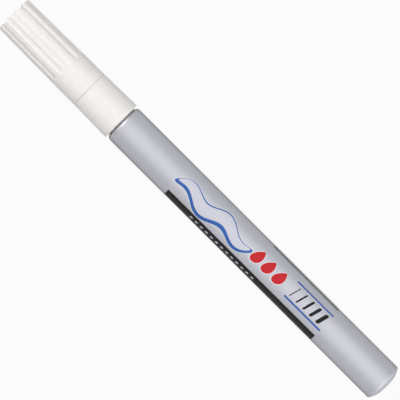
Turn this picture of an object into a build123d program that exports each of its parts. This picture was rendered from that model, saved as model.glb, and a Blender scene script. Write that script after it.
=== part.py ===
"""Valve-action paint marker, capped, lying on its side with the cap towards -X."""
from build123d import *
import os
from math import asin, cos, degrees, pi, sin, sqrt

os.makedirs("parts", exist_ok=True)

# All sizes are in millimetres. Heights run up the marker's axis from the end of its tail.

# Barrel, an aluminium can
barrel_diameter = 10.7
barrel_wall = 0.45
barrel_length = 94.3
tail_rise = 1.3
tail_flat_diameter = 3.0
tail_edge_radius = 0.4
shoulder_radius = 1.1
lip_width = 0.55

# Collar
collar_gap = 0.3
collar_length = 11.4
collar_foot_overhang = 0.27
collar_top_overhang = 0.08
collar_edge_radius = 0.15

# Cap
cap_length = 26.95
cap_mouth_overhang = 0.1
cap_taper = 0.26
cap_wall = 0.8
cap_top_wall = 1.3
cap_top_edge_radius = 0.3
cap_mouth_edge_radius = 0.15
cap_rib_height = 0.3
cap_rib_width = 0.7
cap_rib_count = 6
cap_rib_root = 0.2
cap_lead_in = 0.3
flute_count = 12
flute_depth = 0.25
flute_cutter_diameter = 3.2
flute_clear_of_mouth = 8.4
flute_turn = -21.5

# Cap liner
liner_wall = 0.6
liner_top_wall = 0.7
liner_clear_of_trunk = 0.8
liner_free_length = 1.2

# Front holder
gasket_thickness = 0.5
gasket_inset = 0.05
plug_length = 10.0
plug_clearance = 0.2
plug_wall = 0.65
plug_rib_width = 0.6
holder_web = 2.4
holder_wall = 0.8
cap_seat_length = 6.0
snap_bead_height = 0.1
snap_bead_width = 0.8
trunk_edge = 0.3
seal_land_length = 4.5
nose_step = 0.25
nose_tip_wall = 0.75
nose_tip_edge_radius = 0.25
nose_aperture_length = 1.3
nib_guide_length = 3.5
nib_rib_width = 0.5
nib_rib_count = 4

# Nib
nib_diameter = 2.0
nib_shoulder = 0.3
nib_line_diameter = 0.8
nib_reach = 3.5
nib_point_length = 2.2
nib_point_radius = 0.3
nib_headroom = 4.6

# Valve
seat_thickness = 1.5
seat_cone_depth = 0.7
stem_rod_diameter = 1.6
stem_reach = 6.0
stem_head_diameter = 4.6
stem_head_rim = 1.2
stem_pin_length = 8.0
stem_pin_edge_radius = 0.6
paint_gap = 0.45
case_length = 16.0
case_wall = 0.7
case_floor = 1.2
case_flange = 0.8
case_floor_hole_diameter = 3.0
case_window_width = 2.2
case_window_count = 4
case_window_margin = 0.8
spring_wire_diameter = 0.4
spring_turns = 8
spring_inset = 0.1
spring_to_pin = 0.6

# Mixing ball
ball_diameter = 5.0
ball_clear_of_tail = 0.4

# Clearances
lip_clearance = 0.05
press_fit = 0.02
cap_seam_gap = 0.05
cap_end_clearance = 0.4
cap_clearance = 0.05
liner_clearance = 0.05
nib_clearance = 0.05
seat_gap = 0.03
spring_end_gap = 0.02
ball_clearance = 0.05

# Radii worked inwards from the outside of the barrel and the cap
barrel_radius = barrel_diameter / 2
barrel_bore_radius = barrel_radius - barrel_wall
lip_radius = barrel_radius - shoulder_radius - lip_width
neck_radius = lip_radius - lip_clearance
plug_radius = barrel_bore_radius - plug_clearance
case_bore_radius = plug_radius - plug_wall
case_radius = case_bore_radius - press_fit
case_inner_radius = case_radius - case_wall
collar_foot_radius = barrel_radius + collar_foot_overhang
collar_top_radius = barrel_radius + collar_top_overhang
cap_mouth_radius = barrel_radius + cap_mouth_overhang
cap_top_radius = cap_mouth_radius - cap_taper
cap_bore_radius = cap_mouth_radius - cap_wall
trunk_radius = cap_bore_radius - cap_clearance - snap_bead_height
cap_inner_radius = cap_top_radius - flute_depth - cap_wall
liner_radius = cap_inner_radius - cap_rib_height - press_fit
liner_bore_radius = liner_radius - liner_wall
seal_land_radius = liner_bore_radius - liner_clearance
front_chamber_radius = seal_land_radius - holder_wall
rear_chamber_radius = neck_radius - holder_wall
rest_height = max(barrel_radius, collar_foot_radius, collar_top_radius, cap_mouth_radius)

# Radii worked outwards from the nib and the valve stem
nib_radius = nib_diameter / 2
nib_guide_radius = nib_radius + nib_clearance
nib_front_radius = nib_radius - nib_shoulder
nose_aperture_radius = nib_front_radius + nib_clearance
nose_tip_radius = nose_aperture_radius + nose_tip_wall
stem_rod_radius = stem_rod_diameter / 2
stem_head_radius = stem_head_diameter / 2
seat_hole_radius = stem_rod_radius + paint_gap
spring_wire_radius = spring_wire_diameter / 2
spring_radius = stem_head_radius - spring_inset - spring_wire_radius
stem_pin_radius = spring_radius - spring_wire_radius - spring_to_pin
ball_radius = ball_diameter / 2

# Heights from the barrel forwards to the cap
collar_foot = barrel_length + collar_gap
collar_top = collar_foot + collar_length
cap_mouth = collar_top + cap_seam_gap
cap_top = cap_mouth + cap_length
cap_ceiling = cap_top - cap_top_wall
trunk_foot = barrel_length + lip_clearance
trunk_top = collar_top + cap_seat_length
land_top = trunk_top + seal_land_length
liner_foot = trunk_top + liner_clear_of_trunk
liner_ceiling = cap_ceiling - liner_top_wall
nib_tip = liner_ceiling - nib_headroom
nose_top = nib_tip - nib_reach
guide_top = nose_top - nose_aperture_length
guide_foot = guide_top - nib_guide_length
front_chamber_top = min(land_top - nose_step, guide_foot - front_chamber_radius + nib_guide_radius)
rear_chamber_top = trunk_top - holder_wall

# Heights from the barrel's lip backwards to the valve
lip_underside = barrel_length - barrel_wall
flange_top = lip_underside - gasket_thickness
plug_foot = flange_top - plug_length
seat_front = flange_top - holder_web
seat_rear = seat_front - seat_thickness
nib_rear = seat_front + stem_reach
cone_front = seat_rear + seat_cone_depth + paint_gap - seat_gap
cone_rear = cone_front - stem_head_radius + stem_rod_radius
head_rear = cone_rear - stem_head_rim
pin_rear = head_rear - stem_pin_length
case_rear = seat_rear - case_length
case_floor_top = case_rear + case_floor
case_flange_rear = plug_foot - case_flange


def turned(points, rounded=()):
    """Solid turned about the marker's axis from corners (radius, height); some corners rounded."""
    face = make_face(Polyline(*points, close=True))
    for corner, radius in rounded:
        face = fillet(face.vertices().sort_by_distance(corner)[0], radius)
    return revolve(Plane.XZ * face, Axis.Z)


def ridge(radius, height, rise, width):
    """Corners of a low ridge round a turned piece, from its foot upwards."""
    return [
        (radius, height - width / 2),
        (radius + rise, height - width / 5),
        (radius + rise, height + width / 5),
        (radius, height + width / 2),
    ]


def spokes(count, width, low, high):
    """Plates that stand out from the axis, evenly turned, between two heights."""
    from_axis = (Align.MIN, Align.CENTER, Align.MIN)
    plate = Pos(0, 0, low) * Box(barrel_diameter, width, high - low, align=from_axis)
    return [Rot(0, 0, 360 / count * turn) * plate for turn in range(count)]


def tube(inner, outer, low, high):
    """Plain ring between two radii and two heights."""
    return turned([(inner, low), (outer, low), (outer, high), (inner, high)])


# Barrel: domed tail, straight can, mouth rolled in over the gasket
tail_flat_radius = tail_flat_diameter / 2
dome_span = barrel_radius - tail_flat_radius
dome_radius = (dome_span**2 + tail_rise**2) / (2 * tail_rise)
dome_centre = (tail_flat_radius, dome_radius)
inner_dome_radius = dome_radius - barrel_wall
inner_dome_span = dome_span - barrel_wall
inner_dome_foot = dome_radius - sqrt(inner_dome_radius**2 - inner_dome_span**2)
roll_centre = (barrel_radius - shoulder_radius, barrel_length - shoulder_radius)
can_outline = [
    Line((0, 0), (tail_flat_radius, 0)),
    CenterArc(dome_centre, dome_radius, -90, degrees(asin(dome_span / dome_radius))),
    Line((barrel_radius, tail_rise), (barrel_radius, barrel_length - shoulder_radius)),
    CenterArc(roll_centre, shoulder_radius, 0, 90),
    Polyline(
        (barrel_radius - shoulder_radius, barrel_length),
        (lip_radius, barrel_length),
        (lip_radius, lip_underside),
        (barrel_radius - shoulder_radius, lip_underside),
    ),
    CenterArc(roll_centre, shoulder_radius - barrel_wall, 0, 90),
    Line((barrel_bore_radius, barrel_length - shoulder_radius), (barrel_bore_radius, inner_dome_foot)),
    CenterArc(dome_centre, inner_dome_radius, -90, degrees(asin(inner_dome_span / inner_dome_radius))),
    Polyline((tail_flat_radius, barrel_wall), (0, barrel_wall), (0, 0)),
]
can_face = make_face(can_outline)
tail_corner = can_face.vertices().sort_by_distance((barrel_radius, tail_rise))[0]
barrel = revolve(Plane.XZ * fillet(tail_corner, tail_edge_radius), Axis.Z)

# Mouth gasket: flat ring under the rolled lip
mouth_gasket = tube(
    neck_radius + press_fit, barrel_radius - shoulder_radius - gasket_inset, flange_top, lip_underside
)

# Front holder: sealing plug, neck for the rolled lip, trunk for collar and cap, nose for the nib
plug_rib_rise = plug_clearance - press_fit
front_holder = turned(
    [
        (case_bore_radius, plug_foot),
        (plug_radius, plug_foot),
        *ridge(plug_radius, plug_foot + plug_length / 4, plug_rib_rise, plug_rib_width),
        *ridge(plug_radius, plug_foot + plug_length / 2, plug_rib_rise, plug_rib_width),
        (plug_radius, flange_top),
        (neck_radius, flange_top),
        (neck_radius, trunk_foot),
        (trunk_radius, trunk_foot),
        *ridge(trunk_radius, collar_top + cap_seat_length / 2, snap_bead_height, snap_bead_width),
        (trunk_radius, trunk_top - trunk_edge),
        (trunk_radius - trunk_edge, trunk_top),
        (seal_land_radius, trunk_top),
        (seal_land_radius, land_top - nose_step),
        (seal_land_radius - nose_step, land_top),
        (nose_tip_radius, nose_top),
        (nose_aperture_radius, nose_top),
        (nose_aperture_radius, guide_top + nib_shoulder),
        (nib_guide_radius, guide_top),
        (nib_guide_radius, seat_front),
        (case_bore_radius, seat_front),
    ],
    [((nose_tip_radius, nose_top), nose_tip_edge_radius)],
)

# Paint chamber round the nib, with ribs left standing to steer it
paint_chamber = turned(
    [
        (0, seat_front),
        (rear_chamber_radius, seat_front),
        (rear_chamber_radius, rear_chamber_top),
        (front_chamber_radius, rear_chamber_top + rear_chamber_radius - front_chamber_radius),
        (front_chamber_radius, front_chamber_top),
        (nib_guide_radius, guide_foot),
        (0, guide_foot),
    ]
)
for plate in spokes(nib_rib_count, nib_rib_width, nib_rear, front_chamber_top):
    paint_chamber -= plate
front_holder -= paint_chamber

# Collar: tapered sleeve pressed over the trunk
collar_bore_radius = trunk_radius + press_fit
collar = turned(
    [
        (collar_bore_radius, collar_foot),
        (collar_foot_radius, collar_foot),
        (collar_top_radius, collar_top),
        (collar_bore_radius, collar_top),
    ],
    [
        ((collar_foot_radius, collar_foot), collar_edge_radius),
        ((collar_top_radius, collar_top), collar_edge_radius),
    ],
)

# Valve seat: soft disc with a hole coned towards the paint
valve_seat = turned(
    [
        (seat_hole_radius + seat_cone_depth, seat_rear),
        (case_radius, seat_rear),
        (case_radius, seat_front),
        (seat_hole_radius, seat_front),
        (seat_hole_radius, seat_rear + seat_cone_depth),
    ]
)

# Valve case: cup that backs the seat, its flange against the plug, windows open to the paint
case_floor_hole_radius = case_floor_hole_diameter / 2
valve_case = turned(
    [
        (case_floor_hole_radius, case_rear),
        (case_radius, case_rear),
        (case_radius, case_flange_rear),
        (plug_radius, case_flange_rear),
        (plug_radius, plug_foot),
        (case_radius, plug_foot),
        (case_radius, seat_rear),
        (case_inner_radius, seat_rear),
        (case_inner_radius, case_floor_top),
        (case_floor_hole_radius, case_floor_top),
    ]
)
window_foot = case_floor_top + case_window_margin
window_head = case_flange_rear - case_window_margin
for plate in spokes(case_window_count, case_window_width, window_foot, window_head):
    valve_case -= plate

# Valve stem: rod through the seat, coned head, pin inside the spring
valve_stem = turned(
    [
        (0, pin_rear),
        (stem_pin_radius, pin_rear),
        (stem_pin_radius, head_rear),
        (stem_head_radius, head_rear),
        (stem_head_radius, cone_rear),
        (stem_rod_radius, cone_front),
        (stem_rod_radius, nib_rear),
        (0, nib_rear),
    ],
    [((stem_pin_radius, pin_rear), stem_pin_edge_radius)],
)

# Valve spring: round wire swept along a helix of tangent arcs, two arcs to a quarter turn
spring_foot = case_floor_top + spring_wire_radius + spring_end_gap
spring_head = head_rear - spring_wire_radius - spring_end_gap
spring_pitch = (spring_head - spring_foot) / spring_turns


def helix_point(turn):
    """Point on the spring's centre line after so many turns."""
    angle = 2 * pi * turn
    return Vector(spring_radius * cos(angle), spring_radius * sin(angle), spring_foot + spring_pitch * turn)


def helix_way(turn):
    """Direction of the spring's centre line after so many turns."""
    angle = 2 * pi * turn
    return Vector(-spring_radius * sin(angle), spring_radius * cos(angle), spring_pitch / (2 * pi)).normalized()


def tangent_arcs(start, start_way, end, end_way):
    """Two arcs that join two points and meet both directions."""
    chord = end - start
    ways = start_way + end_way
    rest = 4 - ways.dot(ways)
    along = chord.dot(ways)
    reach = (sqrt(along**2 + rest * chord.dot(chord)) - along) / rest
    first = start + start_way * reach
    last = end - end_way * reach
    joint = (first + last) / 2
    return [Edge.make_tangent_arc(start, start_way, joint), Edge.make_tangent_arc(joint, last - first, end)]


spring_arcs = []
for quarter in range(4 * spring_turns):
    turn = quarter / 4
    spring_arcs += tangent_arcs(
        helix_point(turn), helix_way(turn), helix_point(turn + 0.25), helix_way(turn + 0.25)
    )
spring_section = Plane(origin=helix_point(0), z_dir=helix_way(0)) * Circle(spring_wire_radius)
valve_spring = sweep(spring_section, path=Wire(spring_arcs))
print(f"spring: {spring_pitch - spring_wire_diameter:.2f} mm between turns")

# Nib: rod with a shoulder behind the nose's aperture and a rounded point
nib_line_radius = nib_line_diameter / 2
nib = turned(
    [
        (0, nib_rear),
        (nib_radius, nib_rear),
        (nib_radius, guide_top - nib_clearance),
        (nib_front_radius, guide_top + nib_shoulder - nib_clearance),
        (nib_front_radius, nib_tip - nib_point_length),
        (nib_line_radius, nib_tip),
        (0, nib_tip),
    ],
    [((nib_line_radius, nib_tip), nib_point_radius)],
)

# Mixing ball: lies on the lower side of the bore, at the tail
ball_height = barrel_wall + tail_rise + ball_radius + ball_clear_of_tail
ball_drop = barrel_bore_radius - ball_radius - ball_clearance
mixing_ball = Pos(-ball_drop, 0, ball_height) * Sphere(ball_radius)
ball_travel = case_rear - ball_radius - ball_clear_of_tail - ball_height
print(f"ball travel: {ball_travel:.2f} mm")

# Cap: tapered shell, ribs that grip the liner, flutes with rounded ends
cap_step_foot = trunk_top + cap_end_clearance
cap = turned(
    [
        (cap_bore_radius, cap_mouth + cap_lead_in),
        (cap_bore_radius + cap_lead_in, cap_mouth),
        (cap_mouth_radius, cap_mouth),
        (cap_top_radius, cap_top),
        (0, cap_top),
        (0, cap_ceiling),
        (cap_inner_radius, cap_ceiling),
        (cap_inner_radius, cap_step_foot + cap_bore_radius - cap_inner_radius),
        (cap_bore_radius, cap_step_foot),
    ],
    [
        ((cap_mouth_radius, cap_mouth), cap_mouth_edge_radius),
        ((cap_top_radius, cap_top), cap_top_edge_radius),
    ],
)
cap_rib_foot = liner_foot + liner_free_length
cap_rib_tube = tube(liner_radius + press_fit, cap_inner_radius + cap_rib_root, cap_rib_foot, cap_ceiling)
for plate in spokes(cap_rib_count, cap_rib_width, cap_rib_foot, cap_ceiling):
    cap += cap_rib_tube & plate
flute_radius = flute_cutter_diameter / 2
flute_reach = cap_mouth_radius + flute_radius - flute_depth
flute_slope = cap_taper / cap_length
flute_foot = Vector(flute_reach - flute_slope * flute_clear_of_mouth, 0, cap_mouth + flute_clear_of_mouth)
flute_line = Plane(origin=flute_foot, z_dir=(-flute_slope, 0, 1))
flute_cutter = flute_line * Pos(0, 0, cap_length / 2) * Cylinder(flute_radius, cap_length)
flute_cutter += Pos(flute_foot) * Sphere(flute_radius)
for flute in range(flute_count):
    cap -= Rot(0, 0, flute_turn + 360 / flute_count * flute) * flute_cutter

# Cap liner: soft cup pressed between the cap's ribs
cap_liner = turned(
    [
        (liner_bore_radius, liner_foot),
        (liner_radius, liner_foot),
        (liner_radius, cap_ceiling),
        (0, cap_ceiling),
        (0, liner_ceiling),
        (liner_bore_radius, liner_ceiling),
    ]
)

# Every piece is laid down together, cap towards -X, on the widest ring
laid = Pos(cap_top / 2, 0, rest_height) * Rot(0, -90, 0)
pieces = {
    "barrel": barrel,
    "mouth_gasket": mouth_gasket,
    "front_holder": front_holder,
    "collar": collar,
    "valve_seat": valve_seat,
    "valve_case": valve_case,
    "valve_stem": valve_stem,
    "valve_spring": valve_spring,
    "nib": nib,
    "mixing_ball": mixing_ball,
    "cap": cap,
    "cap_liner": cap_liner,
}
for name, piece in pieces.items():
    export_step(laid * piece, f"parts/{name}.step")
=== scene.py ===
"""Capped paint marker, lying on a white floor and seen from straight above."""
import math
import bpy
from mathutils import Matrix, Vector


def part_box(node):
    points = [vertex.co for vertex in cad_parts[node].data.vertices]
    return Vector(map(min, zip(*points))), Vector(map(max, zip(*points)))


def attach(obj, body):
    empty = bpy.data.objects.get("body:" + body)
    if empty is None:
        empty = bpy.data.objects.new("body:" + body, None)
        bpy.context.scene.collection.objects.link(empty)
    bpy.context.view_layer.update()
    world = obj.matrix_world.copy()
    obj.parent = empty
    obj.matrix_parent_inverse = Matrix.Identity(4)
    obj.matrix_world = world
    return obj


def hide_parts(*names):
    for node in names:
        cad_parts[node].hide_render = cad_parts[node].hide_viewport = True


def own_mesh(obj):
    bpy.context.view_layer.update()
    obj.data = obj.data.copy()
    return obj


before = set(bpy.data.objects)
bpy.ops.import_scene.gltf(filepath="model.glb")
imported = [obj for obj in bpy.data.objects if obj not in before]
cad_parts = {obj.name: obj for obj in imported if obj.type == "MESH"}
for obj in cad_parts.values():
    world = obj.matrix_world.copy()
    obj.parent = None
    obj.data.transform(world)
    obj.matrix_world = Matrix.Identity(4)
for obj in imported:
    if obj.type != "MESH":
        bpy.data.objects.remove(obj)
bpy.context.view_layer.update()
mm = 0.001

# Barrel
# A drawn aluminium can under a satin silver lacquer that deepens towards the sides: domed tail,
# straight wall, and a mouth rolled in at the front, which burnishes its shoulder. The mouth clamps
# the gasket and holds the front section.
barrel_front, barrel_tail = (corner.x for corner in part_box("barrel"))
axis_height = (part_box("collar")[0].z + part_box("collar")[1].z) / 2
barrel_radius = 5.35 * mm
barrel_wall = 0.45 * mm
tail_flat_radius = 1.5 * mm
tail_rise = 1.3 * mm
tail_edge_radius = 0.4 * mm
shoulder_radius = 1.1 * mm
lip_radius = 3.7 * mm
lip_rounding = 0.12 * mm
rolled_length, rolled_gloss = 0.9 * mm, 0.13
silver_dark = (0.755, 0.76, 0.83, 1)
silver_light = (0.825, 0.83, 0.902, 1)
satin_roughness = (0.56, 0.64)
flake_size = 0.06 * mm
draw_mark_size, draw_mark_depth = 0.12 * mm, 0.002 * mm
draw_mark_stretch = (0.03, 1, 1)
dull_edge = (0, 0, 0, 1)
lacquer_tint = (0.84, 0.84, 0.84, 1)
pattern_low, pattern_high = 0.3, 0.7
sharp_edge = math.radians(40)
merge_reach = 0.0002 * mm


def put(tree, kind, feeds=None, **settings):
    """Add a node, set its options, and feed its sockets with values or with other sockets."""
    node = tree.nodes.new(kind)
    for setting, value in settings.items():
        setattr(node, setting, value)
    for socket, value in (feeds or {}).items():
        if isinstance(value, bpy.types.NodeSocket):
            tree.links.new(value, node.inputs[socket])
        else:
            node.inputs[socket].default_value = value
    return node


def reckon(tree, operation, *values):
    """Add one step of arithmetic and return its result."""
    return put(tree, "ShaderNodeMath", dict(enumerate(values)), operation=operation).outputs[0]


def start_form(name, inputs):
    """Start a geometry tree with these named inputs, and return it with their sockets."""
    tree = bpy.data.node_groups.new(name, "GeometryNodeTree")
    tree.interface.new_socket("Piece", in_out="OUTPUT", socket_type="NodeSocketGeometry")
    for label, kind in inputs.items():
        tree.interface.new_socket(label, in_out="INPUT", socket_type="NodeSocket" + kind)
    return tree, tree.nodes.new("NodeGroupInput").outputs


def end_form(tree, geometry, finish):
    """End a geometry tree: seams merged, soft shading between sharp edges, faces made real, finish set."""
    merged = put(tree, "GeometryNodeMergeByDistance", {"Geometry": geometry, "Distance": merge_reach})
    smooth = put(tree, "GeometryNodeSetShadeSmooth", {"Geometry": merged.outputs[0]})
    bend = put(tree, "GeometryNodeInputMeshEdgeAngle").outputs["Unsigned Angle"]
    sharp = reckon(tree, "GREATER_THAN", bend, sharp_edge)
    creases = {"Geometry": smooth.outputs[0], "Selection": sharp, "Shade Smooth": False}
    creased = put(tree, "GeometryNodeSetShadeSmooth", creases, domain="EDGE")
    real = put(tree, "GeometryNodeRealizeInstances", {"Geometry": creased.outputs[0]})
    coated = put(tree, "GeometryNodeSetMaterial", {"Geometry": real.outputs[0], "Material": finish})
    put(tree, "NodeGroupOutput", {"Piece": coated.outputs[0]})


def formed(name, mesh, tree, sizes):
    """Run a geometry tree on a start mesh, and keep what it makes as a plain mesh."""
    piece = bpy.data.objects.new(name, mesh)
    bpy.context.scene.collection.objects.link(piece)
    modifier = piece.modifiers.new("form", "NODES")
    modifier.node_group = tree
    for socket in tree.interface.items_tree:
        if socket.name in sizes:
            modifier[socket.identifier] = sizes[socket.name]
    evaluated = piece.evaluated_get(bpy.context.evaluated_depsgraph_get())
    plain = bpy.data.meshes.new_from_object(evaluated)
    piece.modifiers.remove(modifier)
    if plain.materials[0] is None:
        plain.materials.pop(index=0)
    piece.data = plain
    return piece


def turned_form(name, extra_inputs=None, radius_rule=None):
    """Geometry tree that turns an outline about the marker's axis; a rule may reshape the radius."""
    inputs = {"Outline": "Geometry", "Steps Round": "Int", "Axis Height": "Float", "Finish": "Material"}
    tree, sizes = start_form(name, inputs | (extra_inputs or {}))
    rows = put(tree, "GeometryNodeAttributeDomainSize", {"Geometry": sizes["Outline"]}).outputs["Point Count"]
    columns = reckon(tree, "ADD", sizes["Steps Round"], 1)
    grid = put(tree, "GeometryNodeMeshGrid", {"Vertices X": rows, "Vertices Y": columns})
    index = put(tree, "GeometryNodeInputIndex").outputs[0]
    row = reckon(tree, "FLOOR", reckon(tree, "DIVIDE", index, columns))
    column = reckon(tree, "MODULO", index, columns)
    place = put(tree, "GeometryNodeInputPosition").outputs[0]
    corner = put(
        tree,
        "GeometryNodeSampleIndex",
        {"Geometry": sizes["Outline"], "Value": place, "Index": row},
        data_type="FLOAT_VECTOR",
    )
    parts = put(tree, "ShaderNodeSeparateXYZ", {0: corner.outputs[0]}).outputs
    along, radius = parts["X"], parts["Z"]
    angle = reckon(tree, "MULTIPLY", column, reckon(tree, "DIVIDE", -math.tau, sizes["Steps Round"]))
    if radius_rule:
        radius = radius_rule(tree, sizes, along, radius, angle)
    aside = reckon(tree, "MULTIPLY", radius, reckon(tree, "SINE", angle))
    above = reckon(tree, "MULTIPLY_ADD", radius, reckon(tree, "COSINE", angle), sizes["Axis Height"])
    spot = put(tree, "ShaderNodeCombineXYZ", {"X": along, "Y": aside, "Z": above})
    shaped = put(tree, "GeometryNodeSetPosition", {"Geometry": grid.outputs[0], "Position": spot.outputs[0]})
    end_form(tree, shaped.outputs[0], sizes["Finish"])
    return tree


def rounded(corners):
    """Points of an outline from corners (along, radius, rounding), each rounded corner as an arc."""
    points = []
    arc_step = math.radians(9)
    for number, (along, radius, rounding) in enumerate(corners):
        corner = Vector((along, radius))
        if not rounding:
            points.append(corner)
            continue
        back = (Vector(corners[number - 1][:2]) - corner).normalized()
        ahead = (Vector(corners[(number + 1) % len(corners)][:2]) - corner).normalized()
        half_angle = back.angle(ahead) / 2
        centre = corner + (back + ahead).normalized() * rounding / math.sin(half_angle)
        spoke = corner + back * rounding / math.tan(half_angle) - centre
        turn = spoke.angle_signed(corner + ahead * rounding / math.tan(half_angle) - centre)
        steps = math.ceil(abs(turn) / arc_step)
        points += [centre + Matrix.Rotation(-turn * step / steps, 2) @ spoke for step in range(steps + 1)]
    return points


def outline_mesh(name, points):
    """Start mesh that carries an outline, along X and out along Z."""
    mesh = bpy.data.meshes.new(name)
    mesh.from_pydata([(along, 0, radius) for along, radius in points], [], [])
    return mesh


plain_turning = turned_form("plain turning")


def turned(name, points, finish, steps=192):
    """Piece turned from an outline that follows its outside towards the cap and comes back inside."""
    sizes = {"Steps Round": steps, "Axis Height": axis_height, "Finish": finish}
    return formed(name, outline_mesh(name, points), plain_turning, sizes)


def new_finish(name, **sockets):
    """New material with values on the shader's own sockets, returned with its tree and shader."""
    material = bpy.data.materials.new(name)
    material.use_nodes = True
    shader = material.node_tree.nodes["Principled BSDF"]
    for socket, value in sockets.items():
        shader.inputs[socket.replace("_", " ")].default_value = value
    return material, material.node_tree, shader


def speckle(tree, size, stretch=(1, 1, 1), detail=2.0):
    """Soft random pattern on object coordinates, its spots of about this size."""
    place = put(tree, "ShaderNodeTexCoord").outputs["Object"]
    mapped = put(tree, "ShaderNodeMapping", {"Vector": place, "Scale": stretch}).outputs[0]
    noise = put(tree, "ShaderNodeTexNoise", {"Vector": mapped, "Scale": 1 / size, "Detail": detail})
    return noise.outputs["Fac"]


def between(tree, pattern, dark, light):
    """Colour that follows a pattern from dark to light."""
    ramp = put(tree, "ShaderNodeValToRGB", {"Fac": pattern})
    ramp.color_ramp.elements[0].position = pattern_low
    ramp.color_ramp.elements[1].position = pattern_high
    ramp.color_ramp.elements[0].color = dark
    ramp.color_ramp.elements[1].color = light
    return ramp.outputs["Color"]


def ranged(tree, pattern, low, high):
    """Value that follows a pattern from low to high."""
    feeds = {"Value": pattern, "From Min": pattern_low, "From Max": pattern_high}
    feeds |= {"To Min": low, "To Max": high}
    return put(tree, "ShaderNodeMapRange", feeds).outputs["Result"]


def relief(tree, shader, pattern, depth, strength=0.5):
    """Fine unevenness of the surface that follows a pattern."""
    bump = put(tree, "ShaderNodeBump", {"Height": pattern, "Distance": depth, "Strength": strength})
    tree.links.new(bump.outputs[0], shader.inputs["Normal"])


def stand_for(piece, node, body):
    """Let a finished piece stand for a CAD node: put it on that node's body and hide the node."""
    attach(piece, body)
    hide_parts(node)


satin = {"Metallic": 0.5, "Specular_IOR_Level": 0, "Specular_Tint": dull_edge}
lacquer = {"Coat_Weight": 1, "Coat_Roughness": 0.6, "Coat_IOR": 1.03, "Coat_Tint": lacquer_tint}
satin_silver, tree, shader = new_finish("satin_silver", **satin, **lacquer)
flake = speckle(tree, flake_size, detail=3)
draw_marks = speckle(tree, draw_mark_size, draw_mark_stretch)
tree.links.new(between(tree, flake, silver_dark, silver_light), shader.inputs["Base Color"])
place = put(tree, "ShaderNodeTexCoord").outputs["Object"]
along = put(tree, "ShaderNodeSeparateXYZ", {0: place}).outputs["X"]
shoulder_end = barrel_front + shoulder_radius
rolled = {"Value": along, "From Min": barrel_front + rolled_length, "From Max": shoulder_end}
burnish = put(tree, "ShaderNodeMapRange", {**rolled, "To Min": rolled_gloss, "To Max": 0}).outputs["Result"]
uneven = ranged(tree, draw_marks, *satin_roughness)
tree.links.new(reckon(tree, "SUBTRACT", uneven, burnish), shader.inputs["Roughness"])
relief(tree, shader, draw_marks, draw_mark_depth)

dome_radius = ((barrel_radius - tail_flat_radius) ** 2 + tail_rise**2) / (2 * tail_rise)
dome_steps = 24


def dome(wall):
    """Points of the tail's dome, inside the outer face by a wall, from its flat to its rim."""
    reach = dome_radius - wall
    span = barrel_radius - tail_flat_radius - wall
    points = []
    for step in range(1, dome_steps):
        tilt = math.asin(span / reach) * step / dome_steps
        along = barrel_tail - dome_radius + reach * math.cos(tilt)
        points.append((along, tail_flat_radius + reach * math.sin(tilt), 0))
    return points


can_outline = rounded(
    [
        (barrel_tail, 0, 0),
        (barrel_tail, tail_flat_radius, 0),
        *dome(0),
        (barrel_tail - tail_rise, barrel_radius, tail_edge_radius),
        (barrel_front, barrel_radius, shoulder_radius),
        (barrel_front, lip_radius, lip_rounding),
        (barrel_front + barrel_wall, lip_radius, lip_rounding),
        (barrel_front + barrel_wall, barrel_radius - barrel_wall, shoulder_radius - barrel_wall),
        (barrel_tail - tail_rise, barrel_radius - barrel_wall, 0),
        *reversed(dome(barrel_wall)),
        (barrel_tail - barrel_wall, tail_flat_radius, 0),
        (barrel_tail - barrel_wall, 0, 0),
    ]
)
barrel = turned("barrel_can", can_outline, satin_silver, steps=256)
stand_for(barrel, "barrel", "barrel_unit")

# Print on the barrel
# Screen-printed inks on the lacquer, each a thin layer wrapped on the wall: a black band with silver
# dashes, fine rules, a waved ribbon, three drops of paint and a row of strokes from thin to thick.
ink_depth = 0.015 * mm
ink_roughness, ink_grain, ink_relief = (0.45, 0.6), 0.25 * mm, 0.004 * mm
thin_ink_share, thin_ink_veil = 0.85, 0.008
band_start, band_length = -7.5 * mm, 52.1 * mm
band_place, band_half = -5.6 * mm, 1.5 * mm
dash_start, dash_pitch, dash_count = 2.6 * mm, 1.8 * mm, 13
dash_length, dash_half = 0.8 * mm, 0.3 * mm
rule_start, rule_length = 31.9 * mm, 12.7 * mm
upper_rule, lower_rule = (3.06 * mm, 0.22 * mm), (-2.04 * mm, 0.26 * mm)
line_start, line_length = 21.4 * mm, 22.9 * mm
line_half = 0.2 * mm
line_places = (6.05 * mm, 7.3 * mm, 8.55 * mm)
ribbon_start, ribbon_length = -7.4 * mm, 25.2 * mm
ribbon_waves = 2
ribbon_sway = 1.1 * mm
ribbon_half = 1.75 * mm
ribbon_fullness = 0.5
ribbon_outline, ribbon_shade = 0.75 * mm, 0.35 * mm
drop_start, drop_pitch, drop_count = 20.4 * mm, 3.8 * mm, 3
drop_length, drop_half, drop_foot = 4.2 * mm, 1.85 * mm, -1.75 * mm
drop_point = 0.8
stroke_start, stroke_pitch, stroke_count = 33.2 * mm, 2.4 * mm, 5
stroke_length, stroke_half, stroke_foot = 3.6 * mm, 0.13 * mm, -1.3 * mm
stroke_growth, stroke_fullness = 0.8, 4
upright = math.radians(90)
slant = math.tan(math.radians(15))
halo = 0.22 * mm


def grained(name, colours, roughness, size, stretch=(1, 1, 1), depth=0.002 * mm, **sockets):
    """Finish whose colour, roughness and fine relief all follow one grain of this size and stretch."""
    material, tree, shader = new_finish(name, **sockets)
    grain = speckle(tree, size, stretch, detail=4)
    dark, light = colours
    tree.links.new(between(tree, grain, dark + (1,), light + (1,)), shader.inputs["Base Color"])
    tree.links.new(ranged(tree, grain, *roughness), shader.inputs["Roughness"])
    relief(tree, shader, grain, depth)
    return material


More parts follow.
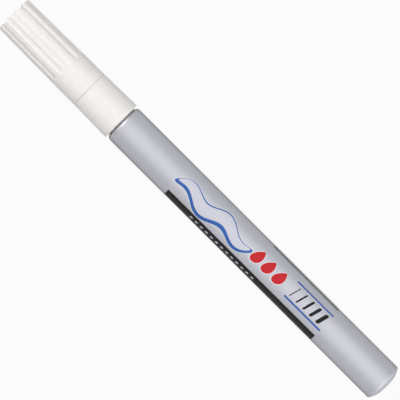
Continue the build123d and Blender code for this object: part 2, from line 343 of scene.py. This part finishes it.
def ink(name, colour, shine=0.2):
    """Screen ink: one colour, slightly uneven where it lies thin, half matt."""
    thin = tuple(thin_ink_share * part + thin_ink_veil for part in colour)
    shades = (thin, colour)
    return grained(name, shades, ink_roughness, ink_grain, depth=ink_relief, Specular_IOR_Level=shine)


def spindle(name, length, middle, half, foot=0.0, turn=0.0, steps=96, strips=24):
    """Flat shape along X, half(share) wide on either side of middle(share), turned about its foot."""
    points = []
    for step in range(steps + 1):
        share = (1 - math.cos(math.pi * step / steps)) / 2
        for strip in range(strips + 1):
            spot = Vector((length * share, middle(share) + half(share) * (2 * strip / strips - 1)))
            points.append((*(Matrix.Rotation(turn, 2) @ spot + Vector((0, foot))), 0))
    row = strips + 1
    cells = [step * row + strip for step in range(steps) for strip in range(strips)]
    mesh = bpy.data.meshes.new(name)
    mesh.from_pydata(points, [], [(cell, cell + row, cell + row + 1, cell + 1) for cell in cells])
    return mesh


def print_form():
    """Geometry tree that repeats a flat motif, gives it the ink's depth and wraps it on the barrel's wall."""
    inputs = {"Motif": "Geometry", "Count": "Int", "Finish": "Material"}
    values = ("First Place", "Pitch", "Growth", "Slant", "Wall Radius", "Axis Height", "Under Layer")
    inputs |= {label: "Float" for label in (*values, "Ink Depth")}
    tree, sizes = start_form("print on a round wall", inputs)
    first = put(tree, "ShaderNodeCombineXYZ", {"X": sizes["First Place"]}).outputs[0]
    step = put(tree, "ShaderNodeCombineXYZ", {"X": sizes["Pitch"]}).outputs[0]
    places = {"Count": sizes["Count"], "Start Location": first, "Offset": step}
    line = put(tree, "GeometryNodeMeshLine", places)
    index = put(tree, "GeometryNodeInputIndex").outputs[0]
    width = reckon(tree, "MULTIPLY_ADD", index, sizes["Growth"], 1)
    scale = put(tree, "ShaderNodeCombineXYZ", {"X": width, "Y": 1, "Z": 1}).outputs[0]
    repeats = {"Points": line.outputs[0], "Instance": sizes["Motif"], "Scale": scale}
    row = put(tree, "GeometryNodeInstanceOnPoints", repeats)
    flat = put(tree, "GeometryNodeRealizeInstances", {"Geometry": row.outputs[0]}).outputs[0]
    lift = {"Mesh": flat, "Offset": (0, 0, 1), "Offset Scale": sizes["Ink Depth"], "Individual": False}
    raised = put(tree, "GeometryNodeExtrudeMesh", lift)
    under = put(tree, "GeometryNodeFlipFaces", {"Mesh": flat})
    layer = put(tree, "GeometryNodeJoinGeometry")
    tree.links.new(under.outputs[0], layer.inputs[0])
    tree.links.new(raised.outputs[0], layer.inputs[0])
    place = put(tree, "GeometryNodeInputPosition").outputs[0]
    parts = put(tree, "ShaderNodeSeparateXYZ", {0: place}).outputs
    along = reckon(tree, "MULTIPLY_ADD", parts["Y"], sizes["Slant"], parts["X"])
    foot = reckon(tree, "ADD", sizes["Wall Radius"], sizes["Under Layer"])
    radius = reckon(tree, "ADD", foot, parts["Z"])
    angle = reckon(tree, "DIVIDE", parts["Y"], sizes["Wall Radius"])
    aside = reckon(tree, "MULTIPLY", radius, reckon(tree, "SINE", angle))
    above = reckon(tree, "MULTIPLY_ADD", radius, reckon(tree, "COSINE", angle), sizes["Axis Height"])
    spot = put(tree, "ShaderNodeCombineXYZ", {"X": along, "Y": aside, "Z": above}).outputs[0]
    wrapped = put(tree, "GeometryNodeSetPosition", {"Geometry": layer.outputs[0], "Position": spot})
    end_form(tree, wrapped.outputs[0], sizes["Finish"])
    return tree


wall_print = print_form()


def printed(name, motif, start, finish, slot, layers_under=0, count=1, pitch=0.0, growth=0.0, lean=0.0):
    """Print a flat motif on the barrel in one ink, once or in a row."""
    sizes = {"First Place": start, "Count": count, "Pitch": pitch, "Growth": growth, "Slant": lean}
    sizes |= {"Finish": finish, "Wall Radius": barrel_radius, "Axis Height": axis_height}
    sizes |= {"Under Layer": layers_under * ink_depth, "Ink Depth": ink_depth}
    piece = formed(name, motif, wall_print, sizes)
    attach(piece, "barrel_unit")


black_ink = ink("black_ink", (0.018, 0.018, 0.017), shine=0.1)
blue_ink = ink("blue_ink", (0.040, 0.130, 0.440))
red_ink = ink("red_ink", (0.600, 0.018, 0.026))
white_ink = ink("white_ink", (0.82, 0.82, 0.84))
silver_ink = ink("silver_ink", (0.66, 0.66, 0.74))


def stripe(name, length, place, half, strips=4):
    """Plain stripe along the barrel, at a place round its wall."""
    return spindle(name, length, lambda share: place, lambda share: half, steps=40, strips=strips)


band = stripe("band", band_length, band_place, band_half, strips=24)
printed("print_band", band, band_start, black_ink, "print_black")
dash = stripe("dash", dash_length, band_place, dash_half)
dash_row = {"count": dash_count, "pitch": dash_pitch, "lean": slant}
printed("print_dashes", dash, dash_start, silver_ink, "print_silver", layers_under=1, **dash_row)
for number, (place, half) in enumerate((upper_rule, lower_rule)):
    rule = stripe("rule", rule_length, place, half)
    printed(f"print_rule_{number + 1}", rule, rule_start, blue_ink, "print_blue")
for number, place in enumerate(line_places):
    line = stripe("line", line_length, place, line_half)
    printed(f"print_line_{number + 1}", line, line_start, black_ink, "print_black")


def ribbon(name, spread, shift):
    """Waved ribbon that runs out to a point at both ends, spread and shifted for its under layers."""

    def middle(share):
        along = (ribbon_length + 2 * spread) * share - spread
        return ribbon_sway * math.sin(math.tau * ribbon_waves * along / ribbon_length) - shift

    def half(share):
        return (ribbon_half + spread) * math.sin(math.pi * share) ** ribbon_fullness

    return spindle(name, ribbon_length + 2 * spread, middle, half, steps=160)


ribbon_edge = ribbon("ribbon_edge", ribbon_outline, ribbon_shade)
ribbon_halo = ribbon("ribbon_halo", ribbon_outline + halo, ribbon_shade)
ribbon_face = ribbon("ribbon_face", 0, 0)
edge_start = ribbon_start - ribbon_outline
printed("print_ribbon_halo", ribbon_halo, edge_start - halo, white_ink, "print_white")
printed("print_ribbon_edge", ribbon_edge, edge_start, blue_ink, "print_blue", layers_under=1)
printed("print_ribbon_face", ribbon_face, ribbon_start, silver_ink, "print_silver", layers_under=2)


def drop(name, spread):
    """Drop of paint with its point upwards, spread for its under layer."""

    def half(share):
        swell = math.acos(1 - 2 * share)
        return (drop_half + spread) * math.sin(swell) * math.cos(swell / 2) ** drop_point

    length = drop_length + 2 * spread
    return spindle(name, length, lambda share: 0, half, foot=drop_foot - spread, turn=upright)


drop_row = {"count": drop_count, "pitch": drop_pitch, "lean": slant}
printed("print_drop_halo", drop("halo", halo), drop_start, white_ink, "print_white", **drop_row)
printed("print_drops", drop("drop", 0), drop_start, red_ink, "print_red", layers_under=1, **drop_row)


def stroke_width(share):
    """Half the width of a stroke with round ends."""
    return stroke_half * min(1, math.sin(math.pi * share) * stroke_fullness)


stroke = spindle("stroke", stroke_length, lambda share: 0, stroke_width, foot=stroke_foot, turn=upright)
stroke_row = {"count": stroke_count, "pitch": stroke_pitch, "growth": stroke_growth, "lean": slant}
printed("print_strokes", stroke, stroke_start, black_ink, "print_black", **stroke_row)

# Mixing ball
# A loose, polished steel ball in the barrel that stirs the paint when the marker is shaken; its
# polish is scuffed by rolling along the bore.
steel_shades = ((0.54, 0.54, 0.55), (0.64, 0.64, 0.65))


def coat(node, finish):
    """Give a piece that keeps its own solid this finish."""
    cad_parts[node].material_slots[0].material = finish


steel = grained("polished_steel", steel_shades, roughness=(0.08, 0.22), size=0.4 * mm, Metallic=1)
coat("mixing_ball", steel)

# Front holder
# One white moulding that plugs the barrel's mouth: ribbed plug, neck under the rolled lip, trunk
# for collar and cap, sealing land and nose.
holder_shades = ((0.78, 0.78, 0.76), (0.83, 0.83, 0.81))
coat("front_holder", grained("satin_moulding", holder_shades, roughness=(0.4, 0.5), size=0.8 * mm))

# Seals
# Black rubber, punched from sheet: a flat gasket under the barrel's rolled lip, and the coned
# valve seat behind the holder's web.
rubber_shades = ((0.035, 0.035, 0.038), (0.06, 0.06, 0.064))
rubber_grain = {"roughness": (0.6, 0.75), "size": 0.15 * mm, "depth": 0.006 * mm}
seal_rubber = grained("seal_rubber", rubber_shades, **rubber_grain)
coat("mouth_gasket", seal_rubber)
coat("valve_seat", seal_rubber)

# Valve case and stem
# Uncoloured mouldings: a windowed cup pressed into the holder, and the coned stem that slides in
# it and shuts against the seat.
uncoloured_shades = ((0.70, 0.69, 0.62), (0.76, 0.75, 0.69))
uncoloured_grain = {"roughness": (0.35, 0.48), "size": 0.6 * mm}
uncoloured_moulding = grained("uncoloured_moulding", uncoloured_shades, **uncoloured_grain)
coat("valve_case", uncoloured_moulding)
coat("valve_stem", uncoloured_moulding)

# Valve spring
# Drawn steel wire coiled between the floor of the valve case and the head of the stem; it shortens
# from the stem's end as the nib is pressed in.
coil_turns = 8
wire_radius = 0.2 * mm
wire_steps = 16
turn_steps = 48
wire_shades = ((0.48, 0.48, 0.49), (0.60, 0.60, 0.61))
spring_low, spring_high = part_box("valve_spring")
coil_radius = (spring_high.y - spring_low.y) / 2 - wire_radius


def coil_form():
    """Geometry tree that winds round wire into a coil along the marker's axis."""
    inputs = {"Turns": "Float", "Steps": "Int", "Coil Radius": "Float", "Wire Radius": "Float"}
    inputs |= {"Wire Steps": "Int", "Length": "Float", "Start": "Vector", "Finish": "Material"}
    tree, sizes = start_form("coil of wire", inputs)
    winding = {"Resolution": sizes["Steps"], "Rotations": sizes["Turns"], "Height": sizes["Length"]}
    winding |= {"Start Radius": sizes["Coil Radius"], "End Radius": sizes["Coil Radius"]}
    standing = put(tree, "GeometryNodeCurveSpiral", winding)
    lying = {"Geometry": standing.outputs[0], "Translation": sizes["Start"], "Rotation": (0, math.pi / 2, 0)}
    coil = put(tree, "GeometryNodeTransform", lying)
    round_wire = {"Resolution": sizes["Wire Steps"], "Radius": sizes["Wire Radius"]}
    section = put(tree, "GeometryNodeCurvePrimitiveCircle", round_wire)
    wound = {"Curve": coil.outputs[0], "Profile Curve": section.outputs[0], "Fill Caps": True}
    end_form(tree, put(tree, "GeometryNodeCurveToMesh", wound).outputs[0], sizes["Finish"])
    return tree


drawn_wire = grained("drawn_wire", wire_shades, roughness=(0.25, 0.4), size=0.1 * mm, Metallic=1)
coil_sizes = {"Turns": coil_turns, "Steps": turn_steps, "Coil Radius": coil_radius, "Finish": drawn_wire}
coil_sizes |= {"Length": spring_high.x - spring_low.x - 2 * wire_radius, "Wire Radius": wire_radius}
coil_sizes |= {"Start": (spring_low.x + wire_radius, 0, axis_height), "Wire Steps": wire_steps}
coil = formed("spring_coil", bpy.data.meshes.new("spring_coil"), coil_form(), coil_sizes)
stand_for(coil, "valve_spring", "barrel_unit")
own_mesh(coil)

# Nib
# A rod of bonded fibre, ground to a shoulder that stops behind the nose and to a fine rounded
# point; paint runs along its fibres.
nib_tip, nib_rear = (corner.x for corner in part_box("nib"))
nib_radius = 1.0 * mm
nib_front_radius = 0.7 * mm
nib_line_radius = 0.4 * mm
nib_front_length = 4.55 * mm
nib_point_length = 2.2 * mm
nib_shoulder = 0.3 * mm
nib_rear_edge, nib_shoulder_edge, nib_taper_edge = 0.1 * mm, 0.05 * mm, 0.4 * mm
nib_point_rounding = 0.3 * mm
fibre_shades = ((0.74, 0.73, 0.69), (0.87, 0.86, 0.82))
fibre_grain = {"roughness": (0.75, 0.9), "size": 0.09 * mm, "stretch": (0.03, 1, 1), "depth": 0.012 * mm}
fibre = grained("bonded_fibre", fibre_shades, **fibre_grain)
nib_outline = [
    (nib_rear, 0, 0),
    (nib_rear, nib_radius, nib_rear_edge),
    (nib_tip + nib_front_length + nib_shoulder, nib_radius, nib_shoulder_edge),
    (nib_tip + nib_front_length, nib_front_radius, 0),
    (nib_tip + nib_point_length, nib_front_radius, nib_taper_edge),
    (nib_tip, nib_line_radius, nib_point_rounding),
    (nib_tip, 0, 0),
]
nib = turned("nib_rod", rounded(nib_outline), fibre, steps=96)
stand_for(nib, "nib", "nib_unit")

# Collar
# A white moulded sleeve pressed over the holder's trunk, tapering slightly from the barrel to the
# cap, with broken edges at both ends.
collar_top, collar_foot = (corner.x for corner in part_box("collar"))
collar_foot_radius = axis_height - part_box("collar")[0].z
collar_top_radius = 5.43 * mm
collar_bore_radius = 4.52 * mm
collar_edge = 0.15 * mm
white_shades = ((0.855, 0.833, 0.8), (0.895, 0.873, 0.84))
white_grain = {"roughness": (0.46, 0.56), "size": 1.2 * mm, "depth": 0.004 * mm}
white_moulding = grained("white_moulding", white_shades, **white_grain)
collar_outline = rounded(
    [
        (collar_foot, collar_bore_radius, 0),
        (collar_foot, collar_foot_radius, collar_edge),
        (collar_top, collar_top_radius, collar_edge),
        (collar_top, collar_bore_radius, 0),
    ]
)
collar = turned("collar_sleeve", [*collar_outline, collar_outline[0]], white_moulding)
stand_for(collar, "collar", "barrel_unit")

# Cap liner
# A soft waxy cup pressed between the cap's inner ribs; it seals on the holder's land and keeps the
# nib wet.
waxy_shades = ((0.73, 0.74, 0.73), (0.79, 0.80, 0.79))
coat("cap_liner", grained("waxy_moulding", waxy_shades, roughness=(0.3, 0.42), size=0.9 * mm))

# Cap
# A white moulded cap pushed over the trunk until it meets the collar: twelve finger flutes with
# ball ends outside, six ribs inside that hold the liner.
cap_top, cap_mouth = (corner.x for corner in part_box("cap"))
cap_mouth_radius = 5.45 * mm
cap_top_radius = 5.19 * mm
cap_bore_radius = 4.65 * mm
cap_inner_radius = 4.14 * mm
cap_ceiling = cap_top + 1.3 * mm
cap_step = cap_mouth - 6.35 * mm
cap_lead_in = 0.3 * mm
cap_mouth_edge, cap_top_edge = 0.15 * mm, 0.3 * mm
flute_count = 12
flute_depth = 0.25 * mm
flute_cutter = 1.6 * mm
flute_foot = cap_mouth - 8.4 * mm
flute_turn = math.radians(-21.5)
flute_softness = 0.05 * mm
flute_rows = 14
foot_margin = 1.1
rib_count = 6
rib_foot = cap_mouth - 7.95 * mm
rib_half = 0.35 * mm
rib_radius = 3.84 * mm
cap_steps = 432


def fluted(tree, sizes, along, radius, angle):
    """Radius of the cap's wall: cut by ball-ended flutes outside, and drawn in to the ribs inside."""
    flute_pitch = reckon(tree, "DIVIDE", math.pi, sizes["Flutes"])
    from_first = reckon(tree, "SUBTRACT", angle, sizes["First Flute"])
    turn = reckon(tree, "WRAP", from_first, flute_pitch, reckon(tree, "MULTIPLY", flute_pitch, -1))
    from_mouth = reckon(tree, "SUBTRACT", sizes["Mouth"], along)
    tapered = reckon(tree, "MULTIPLY", from_mouth, sizes["Taper"])
    wall = reckon(tree, "SUBTRACT", sizes["Mouth Radius"], tapered)
    cutter_depth = reckon(tree, "SUBTRACT", sizes["Cutter"], sizes["Flute Depth"])
    reach = reckon(tree, "ADD", wall, cutter_depth)
    past_foot = reckon(tree, "MAXIMUM", reckon(tree, "SUBTRACT", along, sizes["Flute Foot"]), 0)
    aside = reckon(tree, "MULTIPLY", reach, reckon(tree, "SINE", turn))
    spare = reckon(tree, "MULTIPLY", sizes["Cutter"], sizes["Cutter"])
    for distance in (past_foot, aside):
        spare = reckon(tree, "SUBTRACT", spare, reckon(tree, "MULTIPLY", distance, distance))
    bite = reckon(tree, "SQRT", reckon(tree, "MAXIMUM", spare, 0))
    cut = reckon(tree, "SUBTRACT", reckon(tree, "MULTIPLY", reach, reckon(tree, "COSINE", turn)), bite)
    outside = reckon(tree, "SMOOTH_MIN", radius, cut, sizes["Softness"])
    rib_pitch = reckon(tree, "DIVIDE", math.pi, sizes["Ribs"])
    rib_turn = reckon(tree, "WRAP", angle, rib_pitch, reckon(tree, "MULTIPLY", rib_pitch, -1))
    off_rib = reckon(tree, "ABSOLUTE", reckon(tree, "MULTIPLY", rib_turn, radius))
    near_rib = reckon(tree, "LESS_THAN", off_rib, sizes["Rib Half"])
    above_foot = reckon(tree, "LESS_THAN", along, sizes["Rib Foot"])
    inner_wall = reckon(tree, "COMPARE", radius, sizes["Inner Radius"], sizes["Softness"])
    on_rib = reckon(tree, "MULTIPLY", near_rib, reckon(tree, "MULTIPLY", above_foot, inner_wall))
    drawn_in = reckon(tree, "MULTIPLY", on_rib, reckon(tree, "SUBTRACT", outside, sizes["Rib Radius"]))
    return reckon(tree, "SUBTRACT", outside, drawn_in)


cap_inputs = ("First Flute", "Mouth", "Mouth Radius", "Taper", "Cutter", "Flute Depth", "Flute Foot")
cap_inputs += ("Softness", "Rib Half", "Rib Foot", "Inner Radius", "Rib Radius")
cap_kinds = {label: "Float" for label in cap_inputs} | {"Flutes": "Int", "Ribs": "Int"}
cap_form = turned_form("fluted cap", cap_kinds, fluted)
cap_taper = (cap_mouth_radius - cap_top_radius) / (cap_mouth - cap_top)
foot_span = foot_margin * math.sqrt(2 * flute_cutter * flute_depth)
foot_places = [flute_foot + foot_span * (1 - row / flute_rows) for row in range(flute_rows + 1)]
cap_outline = rounded(
    [
        (cap_ceiling, 0, 0),
        (cap_ceiling, cap_inner_radius, 0),
        (rib_foot - merge_reach, cap_inner_radius, 0),
        (rib_foot + merge_reach, cap_inner_radius, 0),
        (cap_step + cap_inner_radius - cap_bore_radius, cap_inner_radius, 0),
        (cap_step, cap_bore_radius, 0),
        (cap_mouth - cap_lead_in, cap_bore_radius, 0),
        (cap_mouth, cap_bore_radius + cap_lead_in, 0),
        (cap_mouth, cap_mouth_radius, cap_mouth_edge),
        *((place, cap_mouth_radius - (cap_mouth - place) * cap_taper, 0) for place in foot_places),
        (cap_top, cap_top_radius, cap_top_edge),
        (cap_top, 0, 0),
    ]
)
cap_sizes = {"Steps Round": cap_steps, "Axis Height": axis_height, "Finish": white_moulding}
cap_sizes |= {"Flutes": flute_count, "First Flute": flute_turn, "Mouth": cap_mouth, "Taper": cap_taper}
cap_sizes |= {"Mouth Radius": cap_mouth_radius, "Cutter": flute_cutter, "Flute Depth": flute_depth}
cap_sizes |= {"Flute Foot": flute_foot, "Softness": flute_softness, "Ribs": rib_count, "Rib Half": rib_half}
cap_sizes |= {"Rib Foot": rib_foot, "Inner Radius": cap_inner_radius, "Rib Radius": rib_radius}
cap = formed("cap_shell", outline_mesh("cap_outline", cap_outline), cap_form, cap_sizes)
stand_for(cap, "cap", "cap_unit")

# Stage
# A white floor that keeps a soft shadow, a strip lamp overhead that lies across the marker, a soft
# lamp low beyond each of its ends, and a faint room.
floor_half = 10
floor_white = (0.6, 0.6, 0.6, 1)
floor_glow_share = 0.93
overhead_size, overhead_power = (0.5, 3.6), 10.2
end_size, end_power = (0.7, 1.0), 22.6
lamp_distance = 1.6
end_tilt = math.radians(61)
room_strength = 0.03
camera_height = 1.389
camera_focal_mm, camera_sensor_mm = 495, 36
camera_turn = math.radians(44.94)

floor_mesh = bpy.data.meshes.new("floor")
floor_corners = [(-floor_half, -floor_half, 0), (floor_half, -floor_half, 0)]
floor_corners += [(floor_half, floor_half, 0), (-floor_half, floor_half, 0)]
floor_mesh.from_pydata(floor_corners, [], [(0, 1, 2, 3)])
floor = bpy.data.objects.new("floor", floor_mesh)
bpy.context.scene.collection.objects.link(floor)
floor_paint = bpy.data.materials.new("floor_paint")
floor_paint.use_nodes = True
tree = floor_paint.node_tree
tree.nodes.clear()
matt = put(tree, "ShaderNodeBsdfDiffuse", {"Color": floor_white})
glow = put(tree, "ShaderNodeEmission", {"Color": (1, 1, 1, 1), "Strength": 1})
rays = put(tree, "ShaderNodeLightPath").outputs
seen = reckon(tree, "MAXIMUM", rays["Is Camera Ray"], rays["Is Glossy Ray"])
seen = reckon(tree, "MAXIMUM", seen, rays["Is Transmission Ray"])
share = reckon(tree, "MULTIPLY", seen, floor_glow_share)
both = put(tree, "ShaderNodeMixShader", {0: share, 1: matt.outputs[0], 2: glow.outputs[0]})
put(tree, "ShaderNodeOutputMaterial", {"Surface": both.outputs[0]})
floor_mesh.materials.append(floor_paint)


def soft_lamp(name, size, power, tilt):
    """Flat lamp at the lamps' distance, tilted towards an end of the marker and aimed at its middle."""
    lamp = bpy.data.lights.new(name, "AREA")
    lamp.shape = "RECTANGLE"
    lamp.size, lamp.size_y = size
    lamp.energy = power
    hung = bpy.data.objects.new(name, lamp)
    hung.location = (lamp_distance * math.sin(tilt), 0, lamp_distance * math.cos(tilt))
    hung.rotation_euler = (0, tilt, 0)
    bpy.context.scene.collection.objects.link(hung)


soft_lamp("overhead_lamp", overhead_size, overhead_power, 0)
soft_lamp("cap_end_lamp", end_size, end_power, -end_tilt)
soft_lamp("tail_end_lamp", end_size, end_power, end_tilt)

room = bpy.data.worlds.new("room")
room.use_nodes = True
background = room.node_tree.nodes["Background"]
background.inputs["Color"].default_value = (1, 1, 1, 1)
background.inputs["Strength"].default_value = room_strength
bpy.context.scene.world = room

camera = bpy.data.cameras.new("camera")
camera.lens = camera_focal_mm
camera.sensor_width = camera_sensor_mm
camera_object = bpy.data.objects.new("camera", camera)
camera_object.location = (0, 0, axis_height + camera_height)
camera_object.rotation_euler = (0, 0, camera_turn)
bpy.context.scene.collection.objects.link(camera_object)
bpy.context.scene.camera = camera_object
bpy.context.scene.view_settings.view_transform = "Standard"
